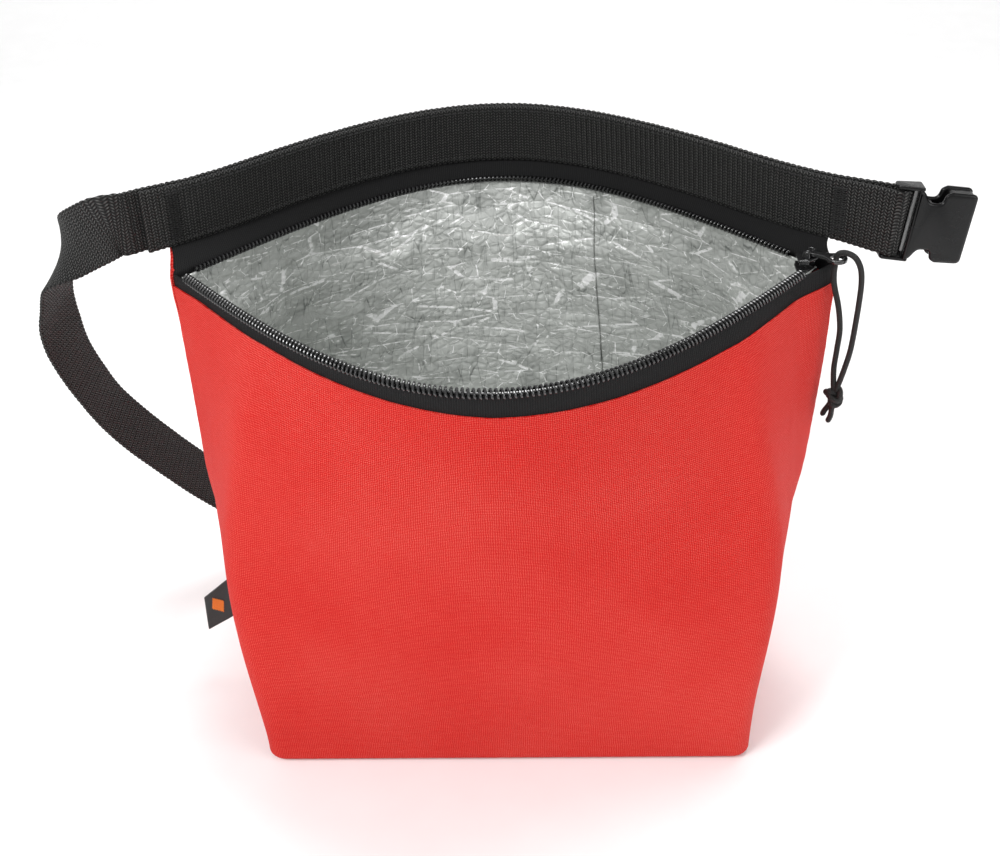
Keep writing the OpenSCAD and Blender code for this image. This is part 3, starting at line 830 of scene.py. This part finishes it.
def liner_floor():
    s, rows = np.linspace(0, 1, 200), np.linspace(-1, 1, 110)[:, None]
    edge = skin(s, 0.0, 5.6)
    x = edge[None, :, 0] + 0 * rows
    y = np.abs(edge[None, :, 1]) * rows
    rim = smooth((1 - np.abs(rows)) * 9) * smooth(np.minimum(s, 1 - s)[None] * 18)
    z = 5.2 + 0.9 * rim * crumple(x + 900, y, 90)
    top = np.stack([x, y, z], -1)
    shape = Shape("foil_floor")
    shape.slab(top, top + [0, 0, FOIL_T], rows[:, 0] * BASE_D / 2, s * LIP_RUN)
    return shape.build(FOIL, 180)


def liner_overlap():
    """The strip where the foil is lapped into a tube."""
    z, s = np.linspace(12, 200.0, 190), np.linspace(0.585, 0.64, 24)
    face, into = foil_face(True, s, z, 0.35)
    curl = 0.5 * smooth((s - 0.63) / 0.01)[None, :, None]
    face = face + into * curl
    shape = Shape("foil_overlap")
    shape.slab(face, face + into * 0.2, z, s * LIP_RUN)
    return swap_uv(shape).build(FOIL, 180)


def place_piece(obj, body, *nodes):
    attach(obj, body)
    if nodes:
        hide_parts(*nodes)
    return obj


place_piece(liner("foil_front", False), "bag", "front_liner")
place_piece(liner("foil_back", True), "bag", "back_liner")
place_piece(liner_floor(), "bag", "bottom_liner")
place_piece(liner_overlap(), "bag", "liner_seam_tape")


# ---------------- zip
TAPE_OUT, TAPE_IN = 1.0, 1.8


def tape(name, back, low, top):
    """One half of the zip's tape, its two faces that far inside the outer skin."""
    z, s = np.linspace(low, top, 14), np.linspace(0.0, 1.0, 260)
    side = back_skin if back else skin
    wave = 0.16 * noise(s[None] * 45, z[:, None] / 9, 21 + back)
    outer = side(s[None], z[:, None], TAPE_OUT - wave)
    inner = side(s[None], z[:, None], TAPE_IN - wave)
    shape = Shape(name)
    for face in (outer, inner):
        face[..., 0] += seam_fin(s[None], z[:, None])
    shape.slab(outer, inner, z, s * LIP_RUN)
    return swap_uv(shape).build(TAPE)


place_piece(tape("tape_front", False, 188, 203.6), "bag", "front_zip_tape")
place_piece(tape("tape_back", True, 199.5, BAND_Z + 1.5), "bag", "back_zip_tape")

COIL_PITCH = 1.83
COIL_TILT = math.radians(35)


def coil(name, back, inset):
    """One row of the zip: a helix of nylon that leans in over the mouth."""
    s = np.linspace(0.016, 0.962, 500)
    line = skin(s, MOUTH_H, inset)
    if back:
        line[:, 1] *= -1
    line = resample(line, COIL_PITCH / 14)
    t = unit(np.gradient(line, axis=0))
    into = unit(np.cross(t, [0, 0, 1]))
    into *= -np.sign(np.sum(into * line, 1, keepdims=True))
    up = np.array([0, 0, 1.0])
    wide = into * math.cos(COIL_TILT) + up * math.sin(COIL_TILT)
    tall = up * math.cos(COIL_TILT) - into * math.sin(COIL_TILT)
    a = run_of(line)[:, None] * TAU / COIL_PITCH
    helix = line + wide * 1.55 * np.cos(a) + tall * 0.95 * np.sin(a)
    shape = Shape(name)
    shape.tube(helix, 0.5, 8, t)
    shape.tube(line[::7], 0.55, 8, [0, 0, 1])
    return shape.build(COIL)


place_piece(coil("coil_front", False, 1.7), "bag", "front_coil")
place_piece(coil("coil_back", True, 3.3), "bag", "back_coil")

SLIDER_X = 112.4
HUB = np.array([116.8, 0, 208.35])
TAB_TURN, HANG_TURN = math.radians(-33.5), math.radians(-30)
TAB_REACH, EYE_R = 11.0, 2.35


def turned(p, at, angle):
    """From a frame that is turned about the vertical: along it, to its side, and up."""
    p = np.asarray(p, float)
    along = np.array([math.cos(angle), math.sin(angle), 0])
    side = np.array([-math.sin(angle), math.cos(angle), 0])
    return at + p[..., :1] * along + p[..., 1:2] * side + p[..., 2:] * np.array([0, 0, 1.0])


def in_tab(p):
    return turned(p, HUB, TAB_TURN)


def stay(p):
    return p


def rod(shape, a, b, r, sides=20, soft=0.25):
    """A round bar from a to b with softened ends."""
    a, b = np.asarray(a, float), np.asarray(b, float)
    d = unit(b - a)
    length = np.linalg.norm(b - a)
    at = np.array([0, soft * 0.3, soft, length - soft, length - soft * 0.3, length])
    size = r - soft * np.array([1, 0.35, 0, 0, 0.35, 1])
    ref = [0, 0, 1] if abs(d[2]) < 0.9 else [0, 1, 0]
    shape.tube(a + at[:, None] * d, 1.0, sides, ref)
    ring = shape.verts[-1].reshape(len(at), sides, 3)
    centre = (a + at[:, None] * d)[:, None]
    shape.verts[-1] = (centre + (ring - centre) * size[:, None, None]).reshape(-1, 3)


def slider_body():
    shape = Shape("zip_slider")
    x = SLIDER_X
    half = [(x, 4.3, 1.2), (x + 3.9, 4.3, 2.2), (x + 7.8, 1.1, 0.9)]
    wing = fillet(half + [(a, -b, r) for a, b, r in half[::-1]])
    shape.plate([wing], 205.7, 206.9, 0.5, stay)
    shape.plate([wing], 201.1, 202.3, 0.5, stay)
    post = fillet([(x + 3.4, -1.2, 0.5), (x + 7, -1.2, 0.5), (x + 7, 1.2, 0.5), (x + 3.4, 1.2, 0.5)])
    shape.plate([post], 202.0, 206.0, 0.1, stay)
    flange = fillet([(x + 0.4, 0, 0.3), (x + 4, 0, 0.3), (x + 4, 0.7, 0.3), (x + 0.4, 0.7, 0.3)])
    for y in (-4.2, 3.5):
        for z in (204.9, 202.1):
            shape.plate([flange + [0, y]], z, z + 0.95, 0.2, stay)
    lug = fillet([(-1.5, -1.5, 0.2), (1.5, -1.5, 0.2), (1.4, 1.3, 1.2), (-1.4, 1.3, 1.2)])
    for y in (-2.9, 1.8):
        shape.plate([lug], y, y + 1.1, 0.3, lambda p: in_tab(p[..., [0, 2, 1]]))
    rod(shape, in_tab([0, -2.95, 0]), in_tab([0, 2.95, 0]), 0.7)
    return shape.build(SLIDER)


def pull_tab():
    shape = Shape("pull_tab")
    a = np.linspace(-0.78 * math.pi, 0.78 * math.pi, 30)
    ring = np.stack([TAB_REACH + 3.85 * np.cos(a), 3.85 * np.sin(a)], 1)
    neck = np.array([[6, 1.55], [0.6, 1.55], [0.6, -1.55], [6, -1.55]])
    shape.plate([np.vstack([ring, neck]), circle(TAB_REACH, 0, EYE_R)], -0.8, 0.8, 0.4, in_tab)
    rod(shape, in_tab([0, -1.6, 0]), in_tab([0, 1.6, 0]), 1.3)
    return shape.build(SLIDER)


place_piece(slider_body(), "slider", "slider_body")
place_piece(pull_tab(), "pull_tab", "slider_tab")


# ---------------- pull cord
CORD_A = [(11.8, 208.2), (11.9, 209.6), (13.2, 211), (15.8, 211.4), (18.9, 210.2), (21.2, 206.6),
          (22.2, 201.4), (22.4, 194), (22.2, 183.4), (21.7, 172.5), (20.5, 164.2), (19, 156.5), (18.3, 153.2)]
CORD_B = [(11.8, 208.2), (11.7, 205.5), (11.7, 202), (12.4, 197.4), (15, 188.9), (16.6, 179.9),
          (16.5, 171), (16.3, 163), (16.9, 156.5), (17.4, 153.2)]
KNOT = (17.9, 150.5)
HANG_AT = np.array([115.5, 0, 0])
SIDE = np.array([-math.sin(HANG_TURN), math.cos(HANG_TURN), 0])


def hang(a, z, side=0.0):
    """A point of the cord's upright plane, side off it."""
    return turned(np.array([a, side, z]), HANG_AT, HANG_TURN)


def cord_leg(name, route):
    """One leg of the cord as a braided tube, and its path."""
    path = resample(spline([hang(*p) for p in route]), 0.5)
    shape = Shape(name)
    shape.tube(path, CORD_D / 2, 14, SIDE)
    return shape.build(CORD), path


def knot():
    """An overhand knot, seen from its flat side, with a turn round its neck."""
    shape = Shape("cord_knot")
    t = np.linspace(0, TAU, 140)
    x = 1.12 * (np.sin(t) + 2 * np.sin(2 * t))
    z = 1.35 * (np.cos(t) - 2 * np.cos(2 * t))
    y = -1.35 * np.sin(3 * t)
    tilt = math.radians(20)
    x, z = x * math.cos(tilt) - z * math.sin(tilt), x * math.sin(tilt) + z * math.cos(tilt)
    loop = [hang(KNOT[0] + a, KNOT[1] + b, c) for a, b, c in zip(x, z, y)]
    shape.tube(np.array(loop), CORD_D / 2, 14, SIDE, caps=False)
    t = np.linspace(0, TAU, 60)
    wrap = [hang(KNOT[0] + 2.5 * math.cos(a), KNOT[1] + 0.2 - 1.1 * math.cos(a), 2.7 * math.sin(a))
            for a in t]
    shape.tube(np.array(wrap), CORD_D / 2, 14, [0, 0, 1], caps=False)
    return shape.build(CORD)


def tails():
    """The two cut and sealed ends of the cord below the knot."""
    shape = Shape("cord_ends")
    for route in ([(17.2, 149, 0.4), (16.1, 145.6, 0.7), (14.7, 142.6, 0.6), (13.9, 140.2, 0.2)],
                  [(18.2, 149, -0.5), (17.8, 145, -0.8), (17.6, 141.6, -0.6), (16.6, 138.2, -0.2)]):
        path = resample(spline([hang(a, z, y) for a, z, y in route]), 0.4)
        taper = np.ones(len(path))
        taper[-3:] = [0.96, 0.8, 0.45]
        start = len(shape.verts)
        shape.tube(path, CORD_D / 2, 14, SIDE)
        ring = shape.verts[start].reshape(len(path), 14, 3) - path[:, None]
        shape.verts[start] = (path[:, None] + ring * taper[:, None, None]).reshape(-1, 3)
    return shape.build(CORD)


leg_a, path_a = cord_leg("cord_leg_a", CORD_A)
leg_b, path_b = cord_leg("cord_leg_b", CORD_B)
cord_knot, cord_ends = knot(), tails()
for obj, node in ((leg_a, "pull_cord_a"), (leg_b, "pull_cord_b"),
                  (cord_knot, "pull_knot"), (cord_ends, "cord_tails")):
    place_piece(obj, "pull_cord", node)
eye = (hang(CORD_A[0][0], CORD_A[0][1]) * MM).tolist()


# ---------------- webbing
RIB = 2.4


def webbing(name, line):
    """A length of ribbed webbing; line is its centres and the directions across it, six columns."""
    line = resample(line, 0.55)
    p, w = line[:, :3], line[:, 3:]
    t = unit(np.gradient(p, axis=0))
    w = unit(w - np.sum(w * t, 1, keepdims=True) * t)
    n = np.cross(w, t)
    run = run_of(p)
    rib = np.abs(np.sin(math.pi * run / RIB))
    r = (WEB_T / 2 - 0.16 + 0.24 * rib)[:, None]
    half = (WEB_W / 2 - 0.3 + 0.38 * rib + 0.12 * noise(run / 7, 0.0, 3))[:, None]
    k, b = np.linspace(-1, 1, 20), np.linspace(0, math.pi, 7)[1:-1]
    flat = np.concatenate([k, np.ones(5), -k, -np.ones(5)])
    side = np.concatenate([0 * k, np.sin(b), 0 * k, -np.sin(b)])
    face = np.concatenate([1 + 0 * k, np.cos(b), -1 + 0 * k, -np.cos(b)])
    across = flat * (half - r) + side * r
    ring = p[:, None] + across[..., None] * w[:, None] + (face * r)[..., None] * n[:, None]
    v = np.append(run_of(ring[0]), 2 * WEB_W + 2 * WEB_T)
    shape = Shape(name)
    start = shape.grid(ring, run, v, wrap=True)
    shape.close(start, len(p), len(flat))
    return shape.build(WEBBING, 60)


MID_Z = BAND_Z + WEB_W / 2
INNER_X, OUTER_X = -133.5, -124.0
INNER_INSET, OUTER_INSET = 2.1, -1.0
BAR = np.array([BAR_X, float(band_y(BAR_X)) - 0.5])
BAR_DIR = unit(np.array([1, -BAND_SLOPE]))
BAR_OUT = np.array([-BAR_DIR[1], BAR_DIR[0]])
LOOP_MID = LOOP_R + WEB_T / 2


def drooped(xy):
    """Plan points of the band made into centres and width directions."""
    xy = np.asarray(xy, float)
    t = smooth((xy[:, 0] - 118) / (BAR_X - 118)) * DROOP
    still = smooth((BAR_X - xy[:, 0]) / 22) * smooth((xy[:, 0] + 136) / 20)
    n = unit(band_pt(xy[:, 0], 1.0, band_soft) - band_pt(xy[:, 0], 0.0, band_soft)) * (LEAN * still)[:, None]
    up = np.hstack([n + np.stack([np.sin(t), 0 * t], 1), np.cos(t)[:, None]])
    return np.hstack([xy + n * WEB_W / 2, np.full((len(xy), 1), MID_Z), up])


def band_line():
    """In front of the back wall to the buckle's bar, round it, and back behind the wall."""
    inner = band_pt(np.linspace(INNER_X, BAR_X - 13, 120), INNER_INSET, band_soft)
    phi = np.linspace(0, math.pi, 9)[:, None]
    turn = BAR + LOOP_MID * (-BAR_OUT * np.cos(phi) + BAR_DIR * np.sin(phi))
    outer = band_pt(np.linspace(BAR_X - 16, OUTER_X, 120), OUTER_INSET, band_soft)
    return spline(drooped(np.vstack([inner, turn, outer])), 4)


place_piece(webbing("waist_band", band_line()), "bag", "band_webbing")

STRAP = [
    (-145, 0.6, 223.5, 0, 0, 1), (-153, 2.4, 219.5, 0.1, 0, 1), (-161, 6, 214.5, 0.2, 0, 1),
    (-168, 11, 208, 0.35, 0.1, 0.9), (-174, 17, 199, 0.45, 0.3, 0.8), (-179, 23, 187, 0.4, 0.5, 0.7),
    (-183, 27, 174, 0.35, 0.7, 0.55), (-184, 31, 160, 0.3, 0.8, 0.4), (-183, 35, 146, 0.2, 0.9, 0.35),
    (-180, 39, 132, 0.15, 0.95, 0.35), (-176, 44, 117, 0.1, 0.95, 0.35), (-169, 49, 102, 0.1, 0.95, 0.35),
    (-160, 55, 86, 0.1, 0.95, 0.3), (-149, 61, 69, 0.1, 0.95, 0.3), (-137, 67, 53, 0.1, 0.95, 0.25),
    (-124, 73, 37, 0.05, 1, 0.2), (-110, 79, 21, 0, 1, 0.1), (-97, 83, 8.6, 0, 1, 0), (-86, 84, 2.2, 0, 1, 0),
    (-79, 84, 1.2, 0, 1, 0)]
TAIL = [(-78, 84, 7.0, 0, 1, 0), (-85, 84, 8.8, 0, 1, 0), (-92, 84, 13.3, 0, 1, 0), (-99, 83, 19.8, 0, 1, 0)]
MALE = np.array([-72.0, 84.0, 4.0])


def strap_line():
    """From the band's left end round behind the bag, round the male half's bar, and its tail."""
    start = drooped(band_pt(np.linspace(OUTER_X - 0.3, -138, 8), OUTER_INSET, band_soft))
    phi = np.linspace(0, math.pi, 7)
    turn = [(MALE[0] + LOOP_MID * math.sin(a), MALE[1], MALE[2] - LOOP_MID * math.cos(a), 0, 1, 0)
            for a in phi]
    return spline(np.vstack([start, STRAP, turn, TAIL]), 8)


strap = webbing("strap", strap_line())
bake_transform(strap)
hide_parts("strap_webbing")


# ---------------- stitching
def stitches(shape, points, out, stitch=2.3, gap=0.8, r=0.26):
    """A line of stitches along points, standing a little proud towards out."""
    step = 0.1
    data = resample(np.hstack([points, out]), step)
    line, out = data[:, :3], unit(data[:, 3:])
    n, k = int(stitch / step), int((stitch + gap) / step)
    rise = np.array([-0.22, 0.08, 0.16, 0.08, -0.22])
    for i in range(0, len(line) - n, k):
        pick = np.linspace(i, i + n, 5).astype(int)
        shape.tube(line[pick] + out[pick] * rise[:, None], r, 6, out[pick])


def band_face(x, z, inset):
    """Points on a face of the band, and the way it faces."""
    lean = np.clip(np.asarray(z) - BAND_Z, 0, None) * LEAN * smooth((BAR_X - x) / 22) * smooth((x + 136) / 20)
    p = band_pt(x, inset + lean, band_soft)
    n = p - band_pt(x, inset + lean + 1, band_soft)
    z = np.broadcast_to(z, (len(p),))[:, None]
    return np.hstack([p, z]), np.hstack([n, 0 * z]) * (1 if inset < 0 else -1)


FRONT_FACE = INNER_INSET + WEB_T / 2
BACK_FACE = OUTER_INSET - WEB_T / 2


def band_stitching():
    shape = Shape("band_stitches")
    x = np.linspace(-131, 128, 200)
    for inset in (FRONT_FACE, BACK_FACE):
        for z in (BAND_Z + 2.2, BAND_Z + WEB_W - 2.2):
            stitches(shape, *band_face(x, z, inset))
    return shape.build(BLACK_THREAD)


def bartacks():
    """Dense zigzag rows where the band's layers are tied together."""
    shape = Shape("bartack_thread")
    for x in (-124.0, BAR_X - 16):
        for inset in (FRONT_FACE, BACK_FACE):
            for row in (-1.0, 1.0):
                n = 44
                zig = np.where(np.arange(n) % 2, 0.95, -0.95)
                p, out = band_face(x + row + zig, np.linspace(BAND_Z + 3, BAND_Z + WEB_W - 3, n), inset)
                shape.tube(p + unit(out) * 0.22, 0.24, 6, unit(out))
    return shape.build(BLACK_THREAD)


place_piece(band_stitching(), "bag")
place_piece(bartacks(), "bag", "bartacks")


# ---------------- label
LABEL_LOW, LABEL_HIGH, LABEL_TIP, LABEL_SAG = 45.0, 62.0, 137.0, 20.5


def label_point(t, h, off):
    """Point at share t along the label and share h up it, off its middle."""
    root_z = LABEL_LOW + (LABEL_HIGH - LABEL_LOW) * h
    root_x = -half_w(root_z / MOUTH_H) + 0.6
    tip_z = LABEL_LOW - LABEL_SAG + (LABEL_HIGH - LABEL_LOW) * h
    bow = 1.2 * np.sin(math.pi * t) * (h - 0.4)
    x = root_x + (-LABEL_TIP - root_x) * t
    y = -1.1 * np.sin(2.2 * t + 2.5 * h) + 0.25 * np.sin(9 * t + 4 * h) + off
    return np.stack([x, y + 0 * x, root_z + (tip_z - root_z) * t + bow], -1)


def side_label():
    t, h = np.linspace(0, 1, 60)[:, None], np.linspace(0, 1, 34)[None]
    thin = 0.5 * np.sqrt(np.clip(1 - np.clip((t - 0.975) / 0.025, 0, 1) ** 2, 0.02, 1))
    shape = Shape("seam_label")
    shape.slab(label_point(t, h, -thin), label_point(t, h, thin), t[:, 0] * 31, h[0] * 17)
    return shape.build(LABEL, 50)


def label_mark():
    """A plain diamond of satin stitches."""
    shape = Shape("label_motif")
    for k in np.linspace(-1, 1, 15):
        half = 0.15 * (1 - abs(k))
        if half > 0.01:
            h = np.linspace(0.55 - half * 1.9, 0.55 + half * 1.9, 7)
            t = np.full(7, 0.76) + 0.115 * k + (h - 0.55) * 0.25
            shape.tube(label_point(t, h, -0.56), 0.25, 6, [0, 1, 0])
    return shape.build(ORANGE_THREAD)


place_piece(side_label(), "bag", "side_label")
place_piece(label_mark(), "bag", "label_mark")


# ---------------- buckle
def at_bar(p):
    """From the bar's frame: along the buckle, through its thickness, along the bar."""
    c, s = math.cos(DROOP), math.sin(DROOP)
    x, y, z = p[..., 0], p[..., 1], p[..., 2]
    return np.stack([BAR_X + x * c + z * s, BAR[1] + y, MID_Z - x * s + z * c], -1)


def mirrored(corners):
    return corners + [(x, -y, r) for x, y, r in corners[::-1]]


def female_half():
    shape = Shape("buckle_socket")

    def flat(p):
        return at_bar(p[..., [0, 2, 1]])

    outline = fillet(mirrored([(4.8, 14.2, 1.6), (7.2, 12.6, 2.5), (9.4, 9.0, 2.6), (13.9, 8.9, 2.6),
                               (14.6, 12.4, 1.8), (16.6, 13.6, 2.0), (26, 13.4, 2.0)]))
    inside = fillet(mirrored([(5.0, 13.6, 1.4), (7.2, 12.1, 2.5), (9.4, 8.6, 2.6), (11.2, 8.4, 0.3)]))
    shape.plate([outline], -4.0, -2.4, 1.1, flat)
    shape.plate([outline], 2.4, 4.0, 1.1, flat)
    shape.plate([inside], -2.8, 2.8, 0.1, flat)
    for side in (-1, 1):
        jaw = fillet([(16.4, 10.3, 0.5), (25.4, 10.3, 0.5), (25.4, 12.9, 1.2), (16.8, 12.9, 1.2)])
        shape.plate([jaw * [1, side]], -2.8, 2.8, 0.1, flat)
        cheek = fillet([(-3.0, -2.6, 1.8), (7, -3.6, 1), (7, 3.6, 1), (-3.0, 2.6, 1.8)])
        low, high = sorted((side * 12.95, side * 14.3))
        shape.plate([cheek], low, high, 0.45, at_bar)
    rod(shape, at_bar(np.array([0, 0, -13.6])), at_bar(np.array([0, 0, 13.6])), BAR_R, 24)
    return shape.build(BUCKLE)


def male_place(p):
    return p + MALE


def male_half():
    shape = Shape("buckle_frame")
    back = fillet(mirrored([(8.4, 15.2, 1.6), (12, 15.5, 2.5), (14, 11, 2)]))
    shape.plate([back], -2.2, 2.2, 0.8, male_place)
    for side in (-1, 1):
        arm = fillet([(-2.4, 13.1, 1.0), (10, 13.1, 0.5), (10, 15.5, 0.5), (-2.4, 15.5, 1.0)])
        shape.plate([arm * [1, side]], -2.2, 2.2, 0.7, male_place)
    rod(shape, MALE + [0, -14, 0], MALE + [0, 14, 0], BAR_R, 24)
    tongue = fillet([(12, 1.9, 0.2), (29, 1.9, 0.8), (31, 0, 1.2), (29, -1.9, 0.8), (12, -1.9, 0.2)])
    shape.plate([tongue], -1.4, 1.4, 0.5, male_place)
    return shape.build(BUCKLE)


def prong(name, side):
    shape = Shape(name)
    outline = fillet([(14.3, 5.2, 0.2), (22, 5.2, 2), (31, 5.4, 1), (34, 6.2, 0.8), (33.5, 8.4, 1.2),
                      (29, 12.8, 1.2), (25, 12.4, 1.4), (22, 8.8, 1.5), (14.3, 8.2, 0.2)])
    shape.plate([outline * [1, side]], -1.8, 1.8, 0.6, male_place)
    return shape.build(BUCKLE)


place_piece(female_half(), "female_half", "female_buckle")
place_piece(male_half(), "male_half", "male_frame")
place_piece(prong("prong_left", 1), "prong_left", "male_prong_left")
place_piece(prong("prong_right", -1), "prong_right", "male_prong_right")

# Hidden foam keeps its CAD shape.
for name in ("bottom_foam", "front_foam", "back_foam"):
    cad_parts[name].data.materials.clear()
    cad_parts[name].data.materials.append(FOAM)
